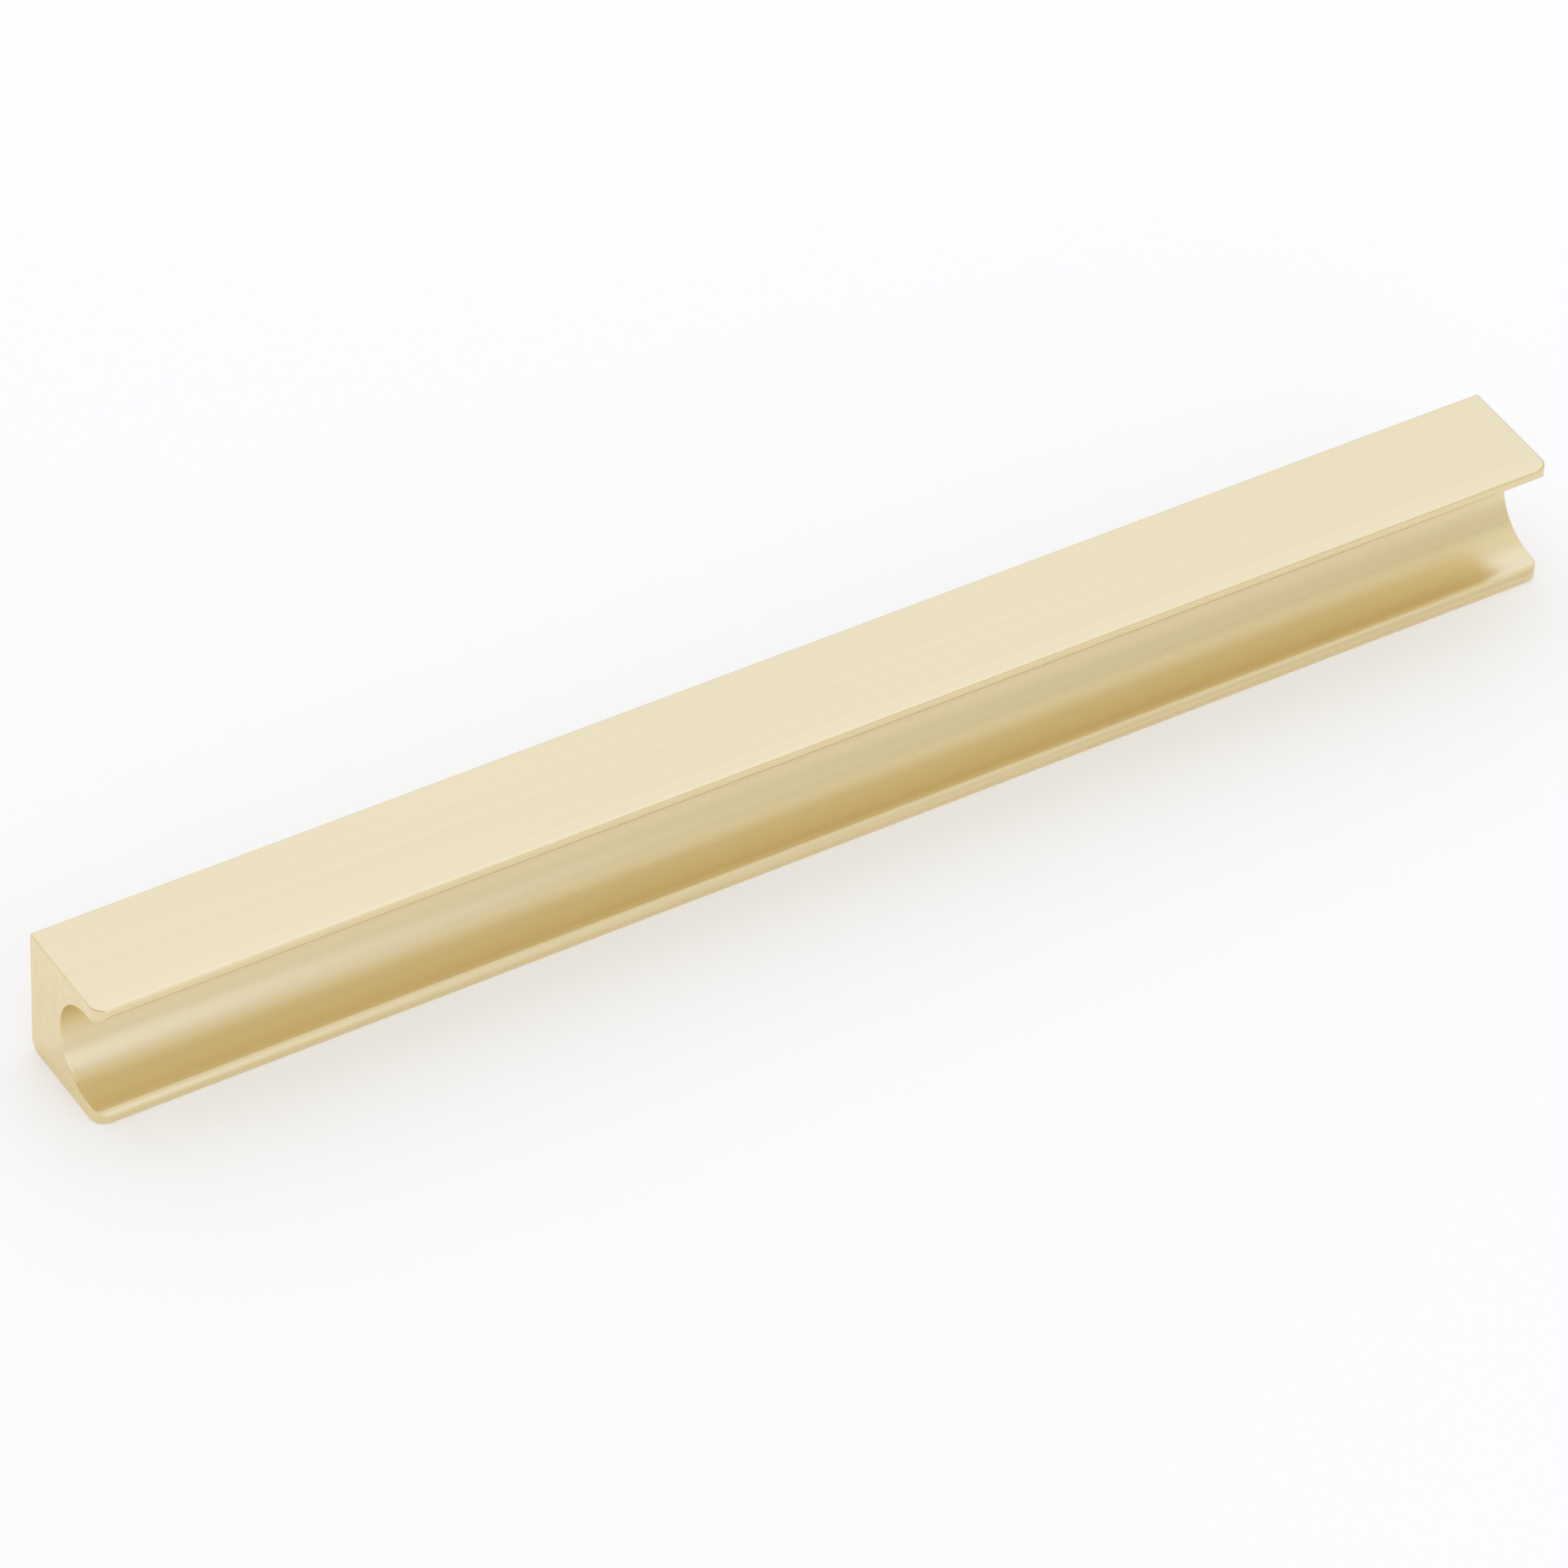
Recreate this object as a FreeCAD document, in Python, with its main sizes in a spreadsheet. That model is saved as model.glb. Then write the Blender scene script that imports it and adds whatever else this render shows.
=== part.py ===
import FreeCAD, Part
import math
import os
import Sketcher
from FreeCAD import Vector

# Finger-groove cabinet pull: one bar of metal with a satin, pale brass-coloured finish.
# It is an extruded section with a round finger groove along its whole front, cut to length.
# Screws through the door hold it by two tapped holes in its back.
# Frame: X along the bar, -Y out from the door, +Z up. The origin lies on the back face,
# at mid height and midway between the two screw holes. Sizes are in millimetres.

doc = FreeCAD.newDocument("cabinet_pull")

# Driving dimensions
DIMENSIONS = [
    ("bar_length", "200", "end to end"),
    ("bar_projection", "16", "door face to the front of the lips"),
    ("bar_height", "17.7", "bottom face to top face"),
    ("upper_lip_thickness", "1.9", "top face to the groove's upper side"),
    ("lower_lip_thickness", "1.9", "bottom face to the groove's lower side"),
    ("groove_side", "0.65", "flat part of the groove's sides, between its half round and the noses"),
    ("nose_radius", "1.35", "round inner front edge of each lip, where the fingers pull"),
    ("nose_front_angle", "15", "degrees, between the end of this round and the front face"),
    ("heel_radius", "1.7", "lower back edge, along the bar"),
    ("corner_radius", "2", "front corners of both lips, seen from above"),
    ("outer_edge_radius", "0.3", "edges of the top, bottom and back faces"),
    ("groove_rim_radius", "0.15", "broken edge all round the groove"),
    ("screw_inset", "20", "each end of the bar to the nearer screw hole"),
    ("tap_drill_diameter", "3.3", "core hole of an M4 thread"),
    ("drill_point_angle", "118", "degrees, across the drill's point"),
    ("drill_floor", "1.1", "metal left between the drill's point and the groove"),
    ("countersink_widening", "1", "countersink's mouth, wider than the core hole"),
    ("countersink_angle", "90", "degrees, across the countersink"),
    ("cutter_overrun", "5", "how far the groove's cutter runs out past the lips"),
]
sizes = doc.addObject("Spreadsheet::Sheet", "sizes")
for row, (alias, value, meaning) in enumerate(DIMENSIONS, start=1):
    sizes.set("A" + str(row), alias)
    sizes.set("B" + str(row), value)
    sizes.set("C" + str(row), meaning)
    sizes.setAlias("B" + str(row), alias)
doc.recompute()

LENGTH = sizes.get("bar_length")
PROJECTION = sizes.get("bar_projection")
HEIGHT = sizes.get("bar_height")
NEAR = 1e-4

# The groove's mouth is wider than the groove, because both lips end in a round nose
NOSE_ANGLE = sizes.get("nose_front_angle")
NOSE_RISE = sizes.get("nose_radius") * (1 - math.sin(math.radians(NOSE_ANGLE)))
MOUTH_TOP = HEIGHT / 2 - sizes.get("upper_lip_thickness") + NOSE_RISE
MOUTH_BOTTOM = sizes.get("lower_lip_thickness") - HEIGHT / 2 - NOSE_RISE

# Formulas that more than one feature follows
GROOVE_TOP = "(sizes.bar_height / 2 - sizes.upper_lip_thickness)"
GROOVE_BOTTOM = "(sizes.bar_height / 2 - sizes.lower_lip_thickness)"
NOSE_DEPTH = "sizes.nose_radius * cos(sizes.nose_front_angle)"
BOWL_DEPTH = "(sizes.bar_projection - " + NOSE_DEPTH + " - sizes.groove_side)"
BOWL_RADIUS = "(" + GROOVE_TOP + " + " + GROOVE_BOTTOM + ") / 2"
DRILL_RADIUS = "sizes.tap_drill_diameter / 2"
MOUTH_DIAMETER = "sizes.tap_drill_diameter + sizes.countersink_widening"
DRILL_POINT = DRILL_RADIUS + " / tan(sizes.drill_point_angle / 2)"
DRILL_DEPTH = BOWL_DEPTH + " - " + BOWL_RADIUS + " - sizes.drill_floor - " + DRILL_POINT

# Names for the sketcher's numbers of points and axes
START, END, CENTRE = 1, 2, 3
ORIGIN = (-1, 1)
ACROSS, UPRIGHT = -1, -2


# Sketches
def origin_plane(body, role):
    """The body's own origin plane that has this role."""
    return [item for item in body.Origin.OriginFeatures if item.Role == role][0]


def new_sketch(body, role, name):
    """A sketch of the body, flat on one of its origin planes."""
    sketch = body.newObject("Sketcher::SketchObject", name)
    sketch.AttachmentSupport = [(origin_plane(body, role), "")]
    sketch.MapMode = "FlatFace"
    return sketch


def line(sketch, start, end):
    """A straight side between two (across, up) points. Returns its number."""
    return sketch.addGeometry(Part.LineSegment(Vector(*start), Vector(*end)))


def arc(sketch, centre, radius, start, end):
    """A round side, anticlockwise between two angles in degrees. Returns its number."""
    circle = Part.Circle(Vector(*centre), Vector(0, 0, 1), radius)
    turn = Part.ArcOfCircle(circle, math.radians(start), math.radians(end))
    return sketch.addGeometry(turn)


def rule(sketch, kind, *items):
    """A constraint that has no size, such as Tangent or Vertical."""
    sketch.addConstraint(Sketcher.Constraint(kind, *items))


def measure(sketch, name, formula, kind, *items):
    """A constraint with a size, which follows a formula of the sheet's cells."""
    value = sketch.evalExpression(formula)
    number = sketch.addConstraint(Sketcher.Constraint(kind, *items, value))
    sketch.renameConstraint(number, name)
    sketch.setExpression("Constraints." + name, formula)


def draw_bar_outline(sketch):
    """The section without its groove: a rectangle with a round heel."""
    top, front = HEIGHT / 2, -PROJECTION
    heel = sizes.get("heel_radius")
    back_side = line(sketch, (0, heel - top), (0, top))
    top_side = line(sketch, (0, top), (front, top))
    front_side = line(sketch, (front, top), (front, -top))
    bottom_side = line(sketch, (front, -top), (-heel, -top))
    heel_edge = arc(sketch, (-heel, heel - top), heel, 270, 360)
    rule(sketch, "Coincident", back_side, END, top_side, START)
    rule(sketch, "Coincident", top_side, END, front_side, START)
    rule(sketch, "Coincident", front_side, END, bottom_side, START)
    rule(sketch, "Tangent", bottom_side, END, heel_edge, START)
    rule(sketch, "Tangent", heel_edge, END, back_side, START)
    rule(sketch, "Vertical", back_side)
    rule(sketch, "Horizontal", top_side)
    rule(sketch, "Vertical", front_side)
    rule(sketch, "Horizontal", bottom_side)
    rule(sketch, "PointOnObject", back_side, START, UPRIGHT)
    measure(sketch, "top", "sizes.bar_height / 2", "DistanceY", *ORIGIN, top_side, START)
    measure(sketch, "bottom", "sizes.bar_height / 2", "DistanceY", bottom_side, START, *ORIGIN)
    measure(sketch, "front", "sizes.bar_projection", "DistanceX", front_side, START, *ORIGIN)
    measure(sketch, "heel", "sizes.heel_radius", "Radius", heel_edge)


def draw_groove_outline(sketch):
    """The finger groove's section: half round at the back, then straight sides and round noses."""
    upper = HEIGHT / 2 - sizes.get("upper_lip_thickness")
    lower = sizes.get("lower_lip_thickness") - HEIGHT / 2
    mouth = -PROJECTION - sizes.get("cutter_overrun")
    nose = sizes.get("nose_radius")
    nose_depth = nose * math.cos(math.radians(NOSE_ANGLE)) - PROJECTION
    depth = nose_depth + sizes.get("groove_side")
    radius = (upper - lower) / 2
    bowl = arc(sketch, (depth, (upper + lower) / 2), radius, -90, 90)
    upper_side = line(sketch, (depth, upper), (nose_depth, upper))
    upper_nose = arc(sketch, (nose_depth, upper + nose), nose, 180 + NOSE_ANGLE, 270)
    upper_way_out = line(sketch, (-PROJECTION, MOUTH_TOP), (mouth, MOUTH_TOP))
    mouth_side = line(sketch, (mouth, MOUTH_TOP), (mouth, MOUTH_BOTTOM))
    lower_way_out = line(sketch, (mouth, MOUTH_BOTTOM), (-PROJECTION, MOUTH_BOTTOM))
    lower_nose = arc(sketch, (nose_depth, lower - nose), nose, 90, 180 - NOSE_ANGLE)
    lower_side = line(sketch, (nose_depth, lower), (depth, lower))
    rule(sketch, "Tangent", bowl, END, upper_side, START)
    rule(sketch, "Tangent", upper_side, END, upper_nose, END)
    rule(sketch, "Coincident", upper_nose, START, upper_way_out, START)
    rule(sketch, "Coincident", upper_way_out, END, mouth_side, START)
    rule(sketch, "Coincident", mouth_side, END, lower_way_out, START)
    rule(sketch, "Coincident", lower_way_out, END, lower_nose, END)
    rule(sketch, "Tangent", lower_nose, START, lower_side, START)
    rule(sketch, "Tangent", lower_side, END, bowl, START)
    rule(sketch, "Horizontal", upper_side)
    rule(sketch, "Horizontal", upper_way_out)
    rule(sketch, "Vertical", mouth_side)
    rule(sketch, "Horizontal", lower_way_out)
    rule(sketch, "Horizontal", lower_side)
    rule(sketch, "Equal", upper_nose, lower_nose)
    rule(sketch, "Vertical", upper_nose, START, lower_nose, END)
    rule(sketch, "Vertical", upper_nose, CENTRE, lower_nose, CENTRE)
    measure(sketch, "upper", GROOVE_TOP, "DistanceY", *ORIGIN, upper_side, START)
    measure(sketch, "lower", GROOVE_BOTTOM, "DistanceY", lower_side, START, *ORIGIN)
    measure(sketch, "bowl", BOWL_DEPTH, "DistanceX", bowl, CENTRE, *ORIGIN)
    measure(sketch, "nose", "sizes.nose_radius", "Radius", upper_nose)
    measure(sketch, "front", "sizes.bar_projection", "DistanceX", upper_nose, START, *ORIGIN)
    measure(sketch, "reach", NOSE_DEPTH, "DistanceX", upper_nose, START, upper_nose, CENTRE)
    measure(sketch, "overrun", "sizes.cutter_overrun", "DistanceX",
            mouth_side, START, upper_nose, START)


def draw_screw_holes(sketch):
    """Two circles at mid height, one at each screw."""
    radius = sizes.get("tap_drill_diameter") / 2
    away = LENGTH / 2 - sizes.get("screw_inset")
    left = sketch.addGeometry(Part.Circle(Vector(-away, 0, 0), Vector(0, 0, 1), radius))
    right = sketch.addGeometry(Part.Circle(Vector(away, 0, 0), Vector(0, 0, 1), radius))
    rule(sketch, "Equal", left, right)
    rule(sketch, "Symmetric", left, CENTRE, right, CENTRE, *ORIGIN)
    rule(sketch, "PointOnObject", right, CENTRE, ACROSS)
    spacing = "sizes.bar_length - 2 * sizes.screw_inset"
    measure(sketch, "spacing", spacing, "DistanceX", left, CENTRE, right, CENTRE)
    measure(sketch, "drill", DRILL_RADIUS, "Radius", right)


# Edges of the growing solid, found by where they lie
def edge_names(shape, belongs):
    """The names of the edges for which belongs(box of the edge) is true."""
    names = []
    for number, edge in enumerate(shape.Edges, start=1):
        if belongs(edge.BoundBox):
            names.append("Edge" + str(number))
    return names


def along_bar(box):
    """True for a straight edge that is parallel to the bar."""
    return box.YLength < NEAR and box.ZLength < NEAR


def upright(box):
    """True for a straight edge that stands up."""
    return box.XLength < NEAR and box.YLength < NEAR


def at_front(box):
    """True for an edge in the plane of the lips' front."""
    return abs(box.YMin + PROJECTION) < NEAR and box.YLength < NEAR


def at_back(box):
    """True for an edge in the plane of the door face."""
    return abs(box.YMin) < NEAR and box.YLength < NEAR


def at_top_or_bottom(box):
    """True for an edge that lies in the top or the bottom face."""
    return abs(abs(box.ZMin) - HEIGHT / 2) < NEAR


def at_end(box):
    """True for an edge that lies in an end face."""
    return abs(abs(box.XMin) - LENGTH / 2) < NEAR and box.XLength < NEAR


def is_lip_corner(box):
    """The upright front corners of both lips."""
    return upright(box) and at_front(box) and at_end(box)


def is_groove_rim(box):
    """The groove's two front edges, which lead on round the corners and the ends."""
    in_mouth = abs(box.ZMin - MOUTH_TOP) < NEAR or abs(box.ZMin - MOUTH_BOTTOM) < NEAR
    return along_bar(box) and at_front(box) and in_mouth


def is_outer_edge(box):
    """The edges of the top and bottom faces and the uprights at the back, but not the heel."""
    front_edge = along_bar(box) and at_front(box) and at_top_or_bottom(box)
    back_edge = along_bar(box) and at_back(box) and box.ZMin > 0 and at_top_or_bottom(box)
    back_upright = upright(box) and at_back(box) and at_end(box)
    return front_edge or back_edge or back_upright


# Features
def add_feature(body, kind, name, profile):
    """A feature of the body that follows a sketch."""
    feature = body.newObject(kind, name)
    feature.Profile = profile
    profile.Visibility = False
    return feature


def check_cut(before, after):
    """Stop if a cut has taken no metal away."""
    if after.Shape.Volume > before.Shape.Volume - NEAR:
        raise RuntimeError(after.Name + " takes nothing away")


def add_fillet(body, name, base, belongs, radius_formula):
    """Round edges of the base feature with one radius."""
    fillet = body.newObject("PartDesign::Fillet", name)
    fillet.Base = (base, edge_names(base.Shape, belongs))
    fillet.setExpression("Radius", radius_formula)
    doc.recompute()
    check_cut(base, fillet)
    return fillet


# The bar: extruded section, groove, rounded corners and edges, screw holes
bar = doc.addObject("PartDesign::Body", "pull_bar")
bar.Label = "pull_bar"
bar.Placement = FreeCAD.Placement()

bar_section = new_sketch(bar, "YZ_Plane", "bar_section")
draw_bar_outline(bar_section)
blank = add_feature(bar, "PartDesign::Pad", "blank", bar_section)
blank.SideType = "Symmetric"
blank.setExpression("Length", "sizes.bar_length")
doc.recompute()

lip_corners = add_fillet(bar, "lip_corners", blank, is_lip_corner, "sizes.corner_radius")
outer_edges = add_fillet(bar, "outer_edges", lip_corners, is_outer_edge, "sizes.outer_edge_radius")

groove_section = new_sketch(bar, "YZ_Plane", "groove_section")
draw_groove_outline(groove_section)
finger_groove = add_feature(bar, "PartDesign::Pocket", "finger_groove", groove_section)
finger_groove.SideType = "Symmetric"
finger_groove.Type = "ThroughAll"
doc.recompute()
check_cut(outer_edges, finger_groove)
groove_rim = add_fillet(bar, "groove_rim", finger_groove, is_groove_rim, "sizes.groove_rim_radius")

hole_places = new_sketch(bar, "XZ_Plane", "hole_places")
draw_screw_holes(hole_places)
doc.recompute()
screw_holes = add_feature(bar, "PartDesign::Hole", "screw_holes", hole_places)
screw_holes.Reversed = True
screw_holes.DepthType = "Dimension"
screw_holes.DrillPoint = "Angled"
screw_holes.HoleCutType = "Countersink"
screw_holes.HoleCutCustomValues = True
screw_holes.setExpression("Diameter", "sizes.tap_drill_diameter")
screw_holes.setExpression("Depth", DRILL_DEPTH)
screw_holes.setExpression("DrillPointAngle", "sizes.drill_point_angle")
screw_holes.setExpression("HoleCutDiameter", MOUTH_DIAMETER)
screw_holes.setExpression("HoleCutCountersinkAngle", "sizes.countersink_angle")
doc.recompute()
check_cut(groove_rim, screw_holes)

# Nothing is written unless every object is sound
for item in doc.Objects:
    if "Invalid" in item.State or "Error" in item.State:
        raise RuntimeError(item.Name + " failed: " + ", ".join(item.State))
parts = [item for item in doc.Objects if item.TypeId == "PartDesign::Body"]
for item in parts:
    if item.Shape.isNull() or not item.Shape.isValid() or len(item.Shape.Solids) != 1:
        raise RuntimeError(item.Label + " is not one sound solid")

os.makedirs("parts", exist_ok=True)
for item in parts:
    item.Shape.exportStep("parts/" + item.Label + ".step")
    box = item.Shape.optimalBoundingBox(False)
    print(item.Label, "volume", round(item.Shape.Volume, 1), "box", box)
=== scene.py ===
import math

import bmesh
import bpy
import numpy as np
from mathutils import Matrix


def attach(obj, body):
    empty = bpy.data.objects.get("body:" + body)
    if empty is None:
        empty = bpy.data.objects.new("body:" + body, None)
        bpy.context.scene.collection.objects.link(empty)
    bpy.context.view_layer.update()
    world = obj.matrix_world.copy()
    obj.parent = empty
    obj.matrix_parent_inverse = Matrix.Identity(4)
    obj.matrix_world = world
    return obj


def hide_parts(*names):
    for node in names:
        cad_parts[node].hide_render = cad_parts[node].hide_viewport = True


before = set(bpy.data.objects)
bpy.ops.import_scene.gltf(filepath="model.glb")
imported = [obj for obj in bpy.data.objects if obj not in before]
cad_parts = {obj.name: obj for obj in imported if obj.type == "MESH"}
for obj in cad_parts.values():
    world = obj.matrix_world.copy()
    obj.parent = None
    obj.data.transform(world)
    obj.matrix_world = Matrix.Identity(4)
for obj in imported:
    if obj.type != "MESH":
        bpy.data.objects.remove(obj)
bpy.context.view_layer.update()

# The bar: one piece of metal, extruded with a finger groove along its front and cut to length.
# Its front corners are rounded from above, its edges are broken, and it is brushed lengthwise.
# Two blind holes in its flat back are tapped M4 for the screws that come through the door.
MM = 0.001
QUARTER_TURN = math.pi / 2
HALF_LENGTH = 100.0
PROJECTION = 16.0
HEIGHT = 17.7
LIP = 1.9
NOSE_RADIUS = 1.35
NOSE_ANGLE = math.radians(15)
NOSE_LENGTH = NOSE_RADIUS * (QUARTER_TURN - NOSE_ANGLE)
NOSE_DEPTH = PROJECTION - NOSE_RADIUS * math.cos(NOSE_ANGLE)
GROOVE_SIDE = 0.65
BOWL_RADIUS = HEIGHT / 2 - LIP
HEEL_RADIUS = 1.7
CORNER_RADIUS = 2.0
CORNER_START = HALF_LENGTH - CORNER_RADIUS
EDGE_RADIUS = 0.3
RIM_RADIUS = 0.15
HOLE_PLACE = 80.0

# The square grid round each hole (half its side, and its steps), how many points each round
# part gets, and how close a flat face's outer points lie to where it turns
HOLE_PATCH = 3.2
PATCH_STEPS = 16
PLAIN_POINTS = 13
CORNER_POINTS = 19
EDGE_POINTS = 9
RIM_POINTS = 6
NOSE_POINTS = 25
BOWL_POINTS = 41
HEEL_POINTS = 17
BEYOND_HOLE = (88.0, 93.0, 97.0)
PIN = 0.03
FRONT_PIN_SHARE = 0.04
TOP_PIN_SHARE = 0.003
NOSE_REACH_SHARE = 0.9


def spread(start, end, count):
    """Evenly spaced numbers from start to end, without the two ends."""
    return np.linspace(start, end, count + 2)[1:-1]


def pinned(start, end, pin, count):
    """Spaced numbers between two ends, the outer ones close to them, so that a flat face keeps
    its flat shading up to where it turns."""
    return np.concatenate([[start + pin], spread(start + pin, end - pin, count), [end - pin]])


def stations():
    """Places along the bar where its outline is drawn. Where a corner turns into the end face
    they follow the sine of the turn; each hole has an even grid round it."""
    corner = np.sin(np.linspace(0, QUARTER_TURN, CORNER_POINTS))
    edge = 1 - np.sin(np.linspace(0, QUARTER_TURN, EDGE_POINTS))
    rim = 1 - np.sin(np.linspace(0, QUARTER_TURN, RIM_POINTS))
    right = np.concatenate([
        np.linspace(0, HOLE_PLACE - HOLE_PATCH, PLAIN_POINTS),
        HOLE_PLACE + np.linspace(-HOLE_PATCH, HOLE_PATCH, PATCH_STEPS + 1),
        np.array([*BEYOND_HOLE, CORNER_START - PIN]),
        CORNER_START + CORNER_RADIUS * corner,
        HALF_LENGTH - EDGE_RADIUS * edge,
        HALF_LENGTH - RIM_RADIUS * rim])
    right = np.unique(np.round(right, 6))
    return np.concatenate([-right[:0:-1], right])


def inset_at(from_end, radius):
    """How far a rounded edge has drawn in, at a distance from the end face: its radius less
    the height of its circle there."""
    reach = np.clip(radius - from_end, 0, radius)
    return radius - np.sqrt(radius ** 2 - reach ** 2)


def joined(parts):
    """Depths and distances below the top of several runs of points, each as one table."""
    return np.concatenate([p[0] for p in parts], 1), np.concatenate([p[1] for p in parts], 1)


def half_front(x):
    """The outline's front from the top face to the middle of the groove, a row per station.
    Rounded edge, wall, broken rim, the nose's arc, the flat side and a quarter of the bowl;
    at the ends, the wall stands out by the root of the corner's radius squared less the
    distance into the corner squared."""
    from_end = (HALF_LENGTH - np.abs(x))[:, None]
    into = np.clip(CORNER_RADIUS - from_end, 0, CORNER_RADIUS)
    drop = inset_at(from_end, RIM_RADIUS)

    def wall(inset):
        """Depth of the front, or of an edge drawn in from it, round the corner's circle."""
        reach = np.maximum((CORNER_RADIUS - inset) ** 2 - into ** 2, 0)
        return PROJECTION - CORNER_RADIUS + np.sqrt(reach)

    def groove(along):
        """Depth and distance below the top, at a distance along the lip and the groove: the
        nose's centre plus its radius by the turn's cosine and sine, then the flat side, then
        the bowl's radius by the bend's sine and by one less its cosine."""
        turn = NOSE_ANGLE + np.clip(along, 0, NOSE_LENGTH) / NOSE_RADIUS
        flat = np.clip(along - NOSE_LENGTH, 0, GROOVE_SIDE)
        bend = np.clip(along - NOSE_LENGTH - GROOVE_SIDE, 0, None) / BOWL_RADIUS
        nose = NOSE_RADIUS - drop
        bowl = BOWL_RADIUS + drop
        depth = NOSE_DEPTH + nose * np.cos(turn) - flat - bowl * np.sin(bend)
        return depth, LIP - NOSE_RADIUS + nose * np.sin(turn) + bowl * (1 - np.cos(bend))

    turn = np.arccos(np.clip(1 - from_end / EDGE_RADIUS, 0, 1)) * np.linspace(1, 0, EDGE_POINTS)
    edge = wall(EDGE_RADIUS * (1 - np.cos(turn))), EDGE_RADIUS * (1 - np.sin(turn))
    front = wall(0)

    # Where the wall meets the lip, and how far the broken rim reaches from there. The rim is
    # a curve of the second degree that leaves along the wall and arrives along the lip.
    meet = np.arccos(np.clip((front - NOSE_DEPTH) / (NOSE_RADIUS - drop), 0, math.cos(NOSE_ANGLE)))
    behind = np.clip(NOSE_DEPTH - front, 0, None)
    start = (meet - NOSE_ANGLE) * NOSE_RADIUS + behind
    facing = np.sqrt(1 - (into / CORNER_RADIUS) ** 2) * np.cos(meet)
    tangent = np.tan(np.arccos(np.clip(facing, 0, 1)) / 2) * (RIM_RADIUS - drop)
    rim = groove(start)
    inner = groove(start + tangent)
    share = np.linspace(0, 1, RIM_POINTS)[None, :]
    weights = (1 - share) ** 2, 2 * share * (1 - share), share ** 2
    rim_end = rim[1] - tangent
    blend = (weights[0] * front + weights[1] * rim[0] + weights[2] * inner[0],
             weights[0] * rim_end + weights[1] * rim[1] + weights[2] * inner[1])

    side = pinned(0, 1, FRONT_PIN_SHARE, count=2)[None, :]
    flat_wall = front + 0 * side, EDGE_RADIUS + (rim_end - EDGE_RADIUS) * side
    whole = NOSE_LENGTH + GROOVE_SIDE + BOWL_RADIUS * QUARTER_TURN
    nose_share = np.linspace(0, 1, NOSE_POINTS)[None, 1:]
    bowl_share = np.linspace(0, 1, BOWL_POINTS)[None, 1:]
    turned = np.maximum(start + tangent, NOSE_LENGTH + GROOVE_SIDE * NOSE_REACH_SHARE)
    nose = groove(start + tangent + (turned - start - tangent) * nose_share)
    bowl = groove(turned + (whole - turned) * bowl_share)
    return joined([edge, flat_wall, blend, nose, bowl])


def outlines(x):
    """The whole closed outline at each station, as depth from the door and distance below the
    top: the front and its mirror image, the bottom, the round heel, the back and the top.
    Also the column at which the back's even grid starts."""
    depth, below = half_front(x)
    inset = inset_at((HALF_LENGTH - np.abs(x))[:, None], EDGE_RADIUS)
    first = depth[:, :1]
    heel = np.linspace(0, QUARTER_TURN, HEEL_POINTS)[None, :]
    back_edge = np.linspace(0, QUARTER_TURN, EDGE_POINTS)[None, :]
    across = pinned(0, 1, TOP_PIN_SHARE, count=6)[None, :]
    low, high = HEIGHT / 2 + HOLE_PATCH, HEIGHT / 2 - HOLE_PATCH
    lower = pinned(HEIGHT - HEEL_RADIUS, low, -PIN, count=1)
    upper = pinned(high, EDGE_RADIUS, -PIN, count=1)
    up = np.concatenate([lower, np.linspace(low, high, PATCH_STEPS + 1), upper])[None, :]
    heel_size = HEEL_RADIUS - inset
    edge_size = EDGE_RADIUS - inset
    parts = [
        (depth, below),
        (depth[:, -2::-1], HEIGHT - below[:, -2::-1]),
        (first + (HEEL_RADIUS - first) * across, HEIGHT - inset + 0 * across),
        (HEEL_RADIUS - heel_size * np.sin(heel), HEIGHT - HEEL_RADIUS + heel_size * np.cos(heel)),
        (inset + 0 * up, up + 0 * inset),
        (EDGE_RADIUS - edge_size * np.cos(back_edge), EDGE_RADIUS - edge_size * np.sin(back_edge)),
        (EDGE_RADIUS + (first - EDGE_RADIUS) * across, inset + 0 * across)]
    grid_start = sum(p[0].shape[1] for p in parts[:4]) + len(lower)
    return *joined(parts), grid_start


def hole_rings(angle):
    """One tapped hole from its mouth to its tip, as rings of radius and depth over the angle:
    a chamfer, a thread whose radius follows a triangle wave of the depth less the angle's share
    of the pitch, a plain end and the drill's cone."""
    mouth, core, major, pitch = 2.15, 1.65, 2.0, 0.7
    threaded, drilled, tip = 4.6, 5.005, 5.996
    root_share, flank_share = 0.2, 0.6
    thread_start, run_in, run_out = 0.1, 0.3, 0.5
    chamfer_rings, thread_rings, cone_rings = 9, 84, 7
    chamfer = mouth - core
    depth = np.concatenate([np.linspace(0, chamfer, chamfer_rings),
                            np.linspace(chamfer, threaded, thread_rings)[1:], [drilled]])
    phase = (depth[:, None] / pitch - angle[None, :] / (2 * math.pi)) % 1
    wave = 1 - np.abs(2 * phase - 1)
    cut = np.clip((wave - root_share) / flank_share, 0, 1) * (major - core)
    starts = np.clip((depth - thread_start) / run_in, 0, 1)
    ends = starts * np.clip((threaded - depth) / run_out, 0, 1)
    bore = np.maximum(core, mouth - depth)[:, None] + 0 * phase
    radius = np.maximum(bore, core + cut * ends[:, None])
    cone = np.linspace(1, 0, cone_rings)[1:-1]
    radius = np.concatenate([radius, core * cone[:, None] + 0 * angle[None, :]])
    depth = np.concatenate([depth, tip - (tip - drilled) * cone])
    return radius, depth, tip


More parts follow.
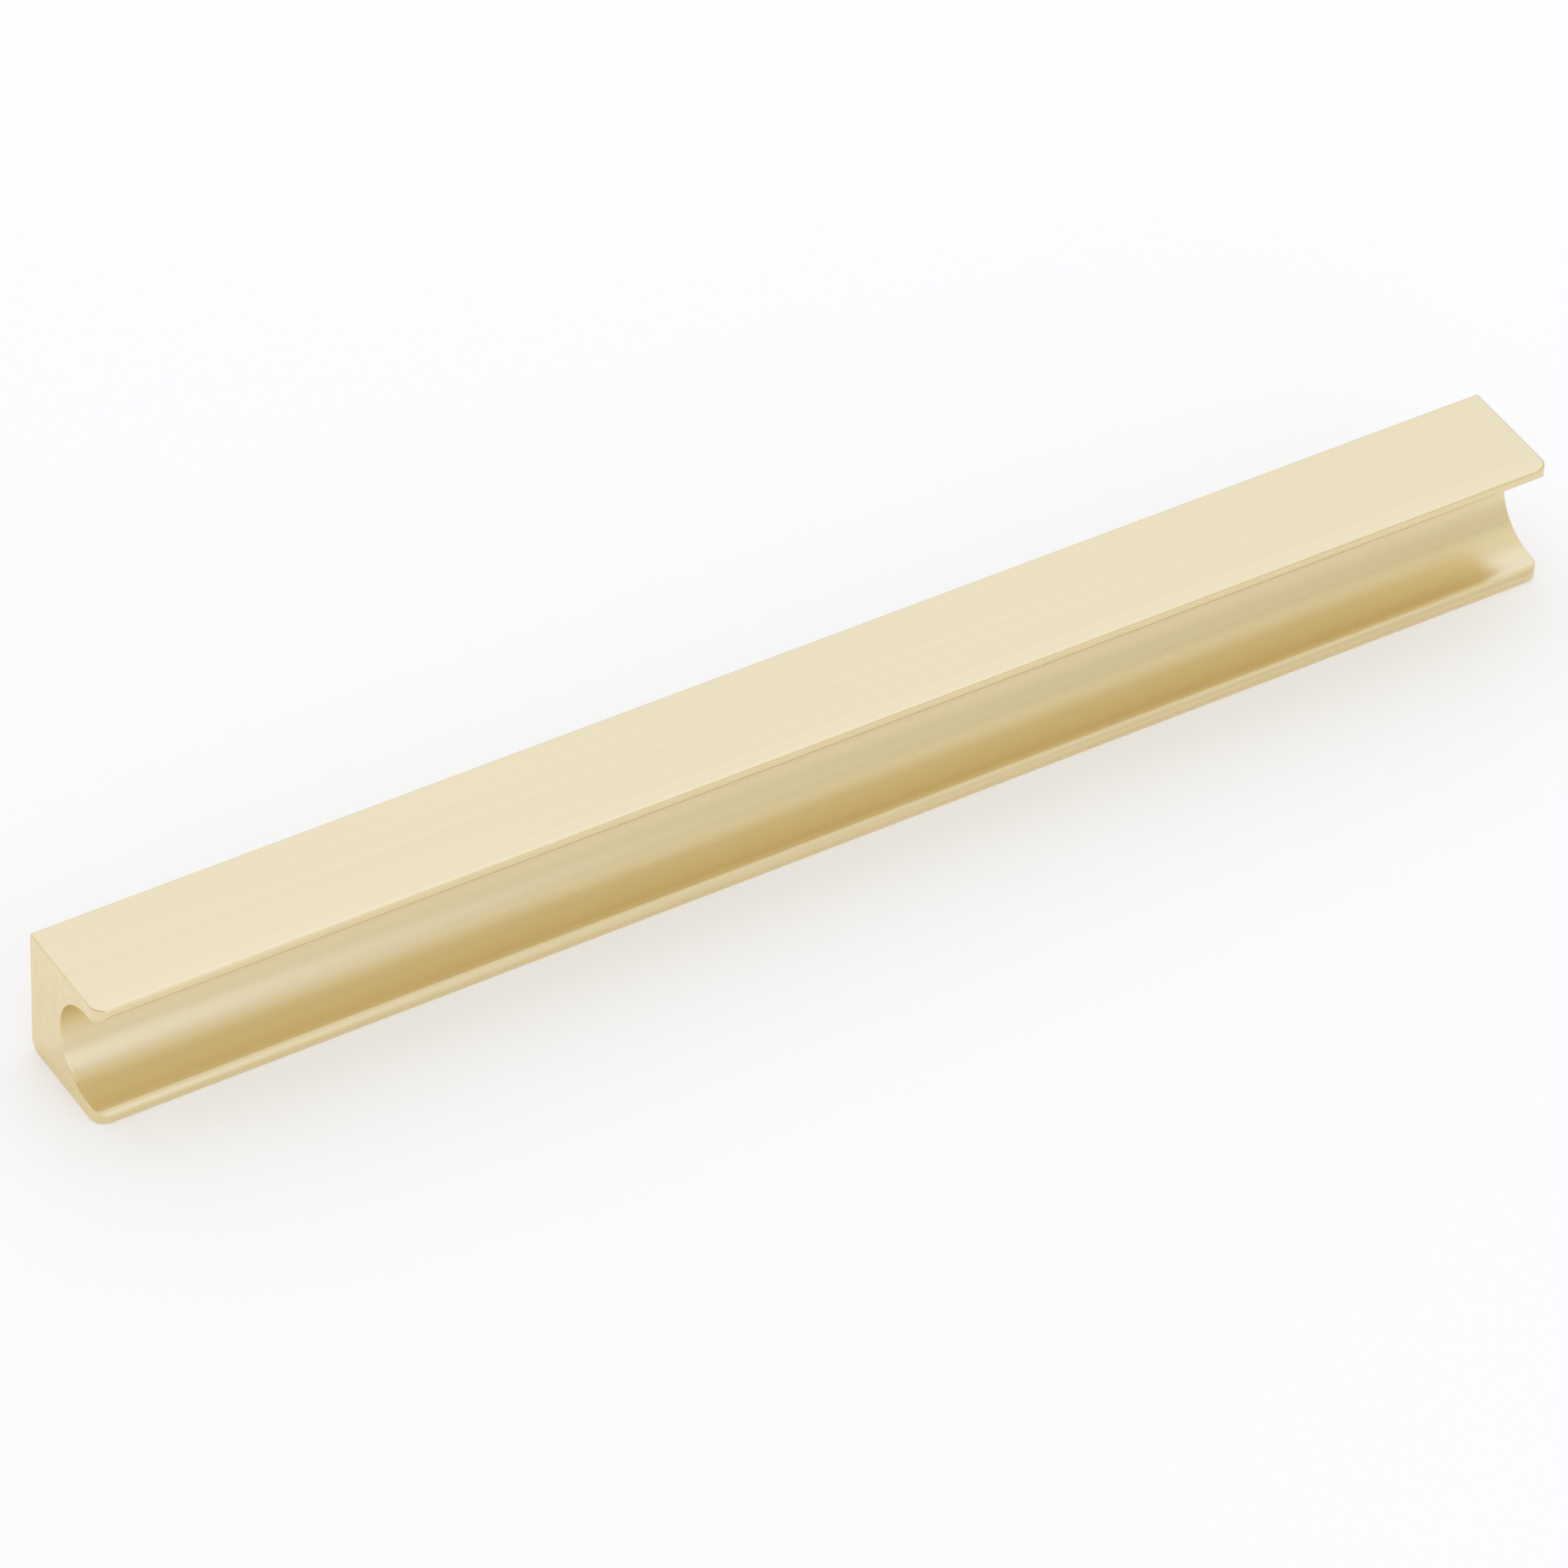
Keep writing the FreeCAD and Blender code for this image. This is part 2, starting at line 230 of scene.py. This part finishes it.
def wear_and_highlight_edges(x, depth, below):
    """How worn each point of the outlines is, from 0 to 1: near the top-front and bottom-front
    edges and near the end faces. The same share also lightens the colour there as a painted
    highlight."""
    reach, front_depth = 0.45, 0.5
    low = np.minimum(below, HEIGHT - below)
    front = depth > (depth.max(1) - front_depth)[:, None]
    edge = np.clip(1 - low / reach, 0, 1) * front
    end = np.clip(1 - (HALF_LENGTH - np.abs(x)) / reach, 0, 1)[:, None]
    return np.maximum(edge, end + 0 * edge)


def bar_mesh():
    """The bar as one closed mesh: rows of outlines along x, an end face at each end, and the
    two holes joined to the square gaps left for them in the back."""
    x = stations()
    depth, below, grid_start = outlines(x)
    rows, columns = depth.shape
    points = np.stack([x[:, None] + 0 * depth, -depth, HEIGHT / 2 - below], -1).reshape(-1, 3)
    row, column = np.meshgrid(np.arange(rows - 1), np.arange(columns), indexing="ij")
    after = (column + 1) % columns
    quads = np.stack([row * columns + column, row * columns + after,
                      (row + 1) * columns + after, (row + 1) * columns + column], -1)
    keep = np.ones((rows - 1, columns), bool)
    all_points, all_quads, tips = [points], [], []
    count = len(points)
    for place in (-HOLE_PLACE, HOLE_PLACE):
        at = int(np.argmin(np.abs(x - (place - HOLE_PATCH))))
        span = np.arange(PATCH_STEPS)
        keep[at:at + PATCH_STEPS, grid_start:grid_start + PATCH_STEPS] = False
        border = np.concatenate([
            (at + span) * columns + grid_start,
            (at + PATCH_STEPS) * columns + grid_start + span,
            (at + PATCH_STEPS - span) * columns + grid_start + PATCH_STEPS,
            at * columns + grid_start + PATCH_STEPS - span])
        angle = np.arctan2(points[border, 2], points[border, 0] - place)
        radius, hole_depth, tip = hole_rings(angle)
        ring = np.stack([place + radius * np.cos(angle), -hole_depth[:, None] + 0 * radius,
                         radius * np.sin(angle)], -1)
        all_points += [ring.reshape(-1, 3), np.array([[place, -tip, 0.0]])]
        ring_numbers = count + np.arange(radius.size).reshape(radius.shape)
        index = np.concatenate([border[None, :], ring_numbers])
        turned = np.roll(index, -1, axis=1)
        ring_quads = np.stack([index[:-1], index[1:], turned[1:], turned[:-1]], -1)
        all_quads.append(ring_quads.reshape(-1, 4))
        count += radius.size + 1
        tips.append(np.stack([turned[-1], index[-1], 0 * index[-1] + count - 1], -1))
    all_quads.insert(0, quads[keep])
    faces = np.concatenate([q.reshape(-1, 4) for q in all_quads]).tolist()
    faces += np.concatenate(tips).tolist()
    faces += [list(range(columns))[::-1], list(range((rows - 1) * columns, rows * columns))]
    mesh = bpy.data.meshes.new("brushed_bar")
    mesh.from_pydata((np.concatenate(all_points) * MM).tolist(), [], faces)
    smooth = np.ones(len(mesh.polygons), bool)
    smooth[-2:] = False
    mesh.polygons.foreach_set("use_smooth", smooth)
    # Each point's share of edge wear, which also carries the painted highlight on those edges
    wear_and_highlight = np.zeros(count)
    wear_and_highlight[:len(points)] = wear_and_highlight_edges(x, depth, below).reshape(-1)
    wear_and_highlight_layer = mesh.attributes.new("wear_and_highlight", "FLOAT", "POINT")
    wear_and_highlight_layer.data.foreach_set("value", wear_and_highlight)

    # Brushed direction: along the bar and round its outline, but across and up on the end faces
    length = np.hypot(np.diff(depth, axis=1), np.diff(below, axis=1)).cumsum(1)
    in_holes = np.concatenate(all_points[1:])
    along = np.concatenate([points[:, 0], in_holes[:, 0]])
    around = np.concatenate([np.pad(length, ((0, 0), (1, 0))).reshape(-1), in_holes[:, 2]])
    corner = np.empty(len(mesh.loops), int)
    mesh.loops.foreach_get("vertex_index", corner)
    brushed = np.stack([along[corner], around[corner]], -1)
    end_faces = slice(-2 * columns, None)
    brushed[end_faces, 0] = -points[corner[end_faces], 1]
    brushed[end_faces, 1] = points[corner[end_faces], 2]
    lengthwise = mesh.uv_layers.new(name="lengthwise")
    lengthwise.data.foreach_set("uv", (brushed * MM).reshape(-1))

    # Points that fall together at the ends are merged, and the end faces are cut into triangles
    same_place, no_length = 1e-4 * MM, 1e-5 * MM
    form = bmesh.new()
    form.from_mesh(mesh)
    bmesh.ops.remove_doubles(form, verts=form.verts, dist=same_place)
    bmesh.ops.dissolve_degenerate(form, edges=form.edges, dist=no_length)
    caps = [face for face in form.faces if len(face.verts) > 4]
    bmesh.ops.triangulate(form, faces=caps, ngon_method="EAR_CLIP")
    form.to_mesh(mesh)
    form.free()
    return mesh


bar = bpy.data.objects.new("brushed_bar", bar_mesh())
bpy.context.scene.collection.objects.link(bar)
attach(bar, "root")
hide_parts("pull_bar")

# The finish: satin, brushed along the bar, in a pale brass colour over the whole metal.
# Fine scratches run along x; their tone wanders a little. The front edges and the end edges are
# worn smoother, and their colour is lightened there as a painted highlight.
GRAIN = (22.0, 5200.0, 5200.0)
STREAKS = (5.0, 900.0, 900.0)
CLOUDS = (9.0, 70.0, 70.0)
BRASS = (0.86, 0.745, 0.485)
# How much the worn edges are lightened in colour: a painted highlight
WEAR_AND_HIGHLIGHT_TONE = 0.05
RUBBED_ROUGHNESS = -0.05


def noise(tree, stretch, detail, low, high):
    """A value from low to high that follows noise in object coordinates. The stretch is how
    many waves it has to the metre along the bar, across it and up."""
    place = tree.nodes.new("ShaderNodeTexCoord")
    scale = tree.nodes.new("ShaderNodeMapping")
    scale.inputs["Scale"].default_value = stretch
    cloud = tree.nodes.new("ShaderNodeTexNoise")
    cloud.inputs["Scale"].default_value = 1.0
    cloud.inputs["Detail"].default_value = detail
    ramp = tree.nodes.new("ShaderNodeMapRange")
    for name, value in (("From Min", 0.3), ("From Max", 0.7), ("To Min", low), ("To Max", high)):
        ramp.inputs[name].default_value = value
    tree.links.new(place.outputs["Object"], scale.inputs["Vector"])
    tree.links.new(scale.outputs["Vector"], cloud.inputs["Vector"])
    tree.links.new(cloud.outputs["Fac"], ramp.inputs["Value"])
    return ramp.outputs["Result"]


def combine(tree, operation, first, second):
    """The two values added or multiplied; either may be a plain number."""
    node = tree.nodes.new("ShaderNodeMath")
    node.operation = operation
    for socket, value in zip(node.inputs, (first, second)):
        if isinstance(value, float):
            socket.default_value = value
        else:
            tree.links.new(value, socket)
    return node.outputs["Value"]


finish = bpy.data.materials.new("satin_brass")
finish.use_nodes = True
tree = finish.node_tree
shader = tree.nodes["Principled BSDF"]
shader.inputs["Metallic"].default_value = 1.0
shader.inputs["Anisotropic"].default_value = 0.6
shader.inputs["Anisotropic Rotation"].default_value = 0.25
wear_and_highlight_node = tree.nodes.new("ShaderNodeAttribute")
wear_and_highlight_node.attribute_name = "wear_and_highlight"
broken = noise(tree, STREAKS, detail=2.0, low=0.35, high=1.0)
wear_and_highlight_share = combine(tree, "MULTIPLY", wear_and_highlight_node.outputs["Fac"], broken)
streaked = noise(tree, STREAKS, detail=3.0, low=0.98, high=1.02)
clouded = noise(tree, CLOUDS, detail=2.0, low=0.99, high=1.01)
tone = combine(tree, "MULTIPLY", streaked, clouded)
# Painted highlight: the colour is lightened along the worn front and end edges
tone = combine(tree, "ADD", tone, combine(tree, "MULTIPLY", wear_and_highlight_share, WEAR_AND_HIGHLIGHT_TONE))
colour = tree.nodes.new("ShaderNodeVectorMath")
colour.operation = "SCALE"
colour.inputs[0].default_value = BRASS
tree.links.new(tone, colour.inputs["Scale"])
tree.links.new(colour.outputs["Vector"], shader.inputs["Base Color"])
uneven = noise(tree, STREAKS, detail=2.0, low=0.27, high=0.31)
rough = combine(tree, "ADD", uneven, combine(tree, "MULTIPLY", wear_and_highlight_share, RUBBED_ROUGHNESS))
tree.links.new(rough, shader.inputs["Roughness"])
fine = noise(tree, GRAIN, detail=2.0, low=0.0, high=1.0)
coarse = noise(tree, STREAKS, detail=2.0, low=0.0, high=1.0)
scratches = combine(tree, "ADD", fine, coarse)
bump = tree.nodes.new("ShaderNodeBump")
bump.inputs["Strength"].default_value = 0.5
bump.inputs["Distance"].default_value = 0.00001
tree.links.new(scratches, bump.inputs["Height"])
tree.links.new(bump.outputs["Normal"], shader.inputs["Normal"])
brushing = tree.nodes.new("ShaderNodeTangent")
brushing.direction_type = "UV_MAP"
brushing.uv_map = "lengthwise"
tree.links.new(brushing.outputs["Tangent"], shader.inputs["Tangent"])
bar.data.materials.append(finish)

# The floor: a plain, white table that the bar lies on, with its heel and lower lip down.
# It glows a little to the camera, to look white, and warmly in the metal's reflections.
FLOOR_SIZE = 3.0
REST = -HEIGHT / 2 * MM
TABLE_WHITE = (0.89, 0.905, 0.96)
GLOW_SEEN, GLOW_MIRRORED = 0.22, 0.17
NEUTRAL, WARM = (1, 1, 1), (1, 0.87, 0.6)
FIRST_COLOUR, SECOND_COLOUR, MIXED_COLOUR = 6, 7, 2


def mixed_colour(tree, share, first, second):
    """The first colour where the share is 0 and the second where it is 1. A Mix node has its
    colours in numbered sockets, because its other kinds of value share their names."""
    mix = tree.nodes.new("ShaderNodeMix")
    mix.data_type = "RGBA"
    tree.links.new(share, mix.inputs["Factor"])
    mix.inputs[FIRST_COLOUR].default_value = (*first, 1)
    mix.inputs[SECOND_COLOUR].default_value = (*second, 1)
    return mix.outputs[MIXED_COLOUR]


floor_mesh = bpy.data.meshes.new("floor")
corners = [(-FLOOR_SIZE, -FLOOR_SIZE, REST), (FLOOR_SIZE, -FLOOR_SIZE, REST),
           (FLOOR_SIZE, FLOOR_SIZE, REST), (-FLOOR_SIZE, FLOOR_SIZE, REST)]
floor_mesh.from_pydata(corners, [], [(0, 1, 2, 3)])
floor = bpy.data.objects.new("floor", floor_mesh)
bpy.context.scene.collection.objects.link(floor)
white = bpy.data.materials.new("white_table")
white.use_nodes = True
surface = white.node_tree
table = surface.nodes["Principled BSDF"]
table.inputs["Base Color"].default_value = (*TABLE_WHITE, 1)
table.inputs["Roughness"].default_value = 0.9
ray = surface.nodes.new("ShaderNodeLightPath")
seen = combine(surface, "MULTIPLY", ray.outputs["Is Camera Ray"], GLOW_SEEN)
mirrored = combine(surface, "MULTIPLY", ray.outputs["Is Glossy Ray"], GLOW_MIRRORED)
surface.links.new(combine(surface, "ADD", seen, mirrored), table.inputs["Emission Strength"])
glow = mixed_colour(surface, ray.outputs["Is Glossy Ray"], NEUTRAL, WARM)
surface.links.new(glow, table.inputs["Emission Color"])
floor_mesh.materials.append(white)

# The light: a plain pale studio all round, which the camera sees as white, with four soft square
# lamps: one high behind the bar that lights its top, a weak one overhead, one in front that
# lights the groove, and a small one behind the left end for that end's upper edge.
ROOM_COLOUR = (0.72, 0.687, 0.59)
ROOM_AS_SEEN = (0.97, 0.97, 0.97)
world = bpy.data.worlds.new("studio")
bpy.context.scene.world = world
world.use_nodes = True
room = world.node_tree
room_ray = room.nodes.new("ShaderNodeLightPath")
room_tone = mixed_colour(room, room_ray.outputs["Is Camera Ray"], ROOM_COLOUR, ROOM_AS_SEEN)
room.links.new(room_tone, room.nodes["Background"].inputs["Color"])


def soft_lamp(name, place, size, level, colour):
    """A square lamp that faces the bar. Its energy is its level times pi times its area, so
    that a mirror shows the lamp at that level, whatever its size."""
    light = bpy.data.lights.new(name, "AREA")
    light.shape = "SQUARE"
    light.size = size
    light.energy = level * math.pi * size ** 2
    light.color = colour
    lamp = bpy.data.objects.new(name, light)
    bpy.context.scene.collection.objects.link(lamp)
    lamp.location = place
    lamp.rotation_euler = lamp.location.to_track_quat("Z", "Y").to_euler()


soft_lamp("back_lamp", (0.24, 0.88, 1.0), size=1.5, level=0.57, colour=(0.47, 0.6, 1))
soft_lamp("top_lamp", (0.5, -0.15, 1.5), size=1.7, level=0.2, colour=(0.82, 0.9, 1))
soft_lamp("front_lamp", (-0.02, -1.0, 0.6), size=0.8, level=0.8, colour=(0.52, 0.63, 1))
soft_lamp("left_lamp", (-1.0, 0.95, 0.62), size=0.6, level=0.3, colour=(0.7, 0.85, 1))

# The camera: a long lens above and to the left, as in the photograph.
# Its place is in millimetres; its direction is an azimuth, an elevation and a roll in degrees.
AZIMUTH, ELEVATION, ROLL = (math.radians(a) for a in (-32.7222, 41.5111, 2.3325))
LENS = 251.2565
SENSOR_WIDTH = 36.0
SIGHT = 20.0
PLACE = (-527.890, -824.468, 854.966)
away = np.array([math.sin(AZIMUTH) * math.cos(ELEVATION),
                 -math.cos(AZIMUTH) * math.cos(ELEVATION), math.sin(ELEVATION)])
level = np.cross([0, 0, 1], away)
level /= np.linalg.norm(level)
upright = np.cross(away, level)
right = math.cos(ROLL) * level + math.sin(ROLL) * upright
top = -math.sin(ROLL) * level + math.cos(ROLL) * upright
lens = bpy.data.cameras.new("camera")
lens.lens = LENS
lens.sensor_width = SENSOR_WIDTH
lens.clip_end = SIGHT
camera = bpy.data.objects.new("camera", lens)
bpy.context.scene.collection.objects.link(camera)
directions = np.stack([right, top, away], 1)
rows = [[*row, place * MM] for row, place in zip(directions, PLACE)]
camera.matrix_world = Matrix(rows + [[0, 0, 0, 1]])
bpy.context.scene.camera = camera
bpy.context.scene.view_settings.view_transform = "Standard"
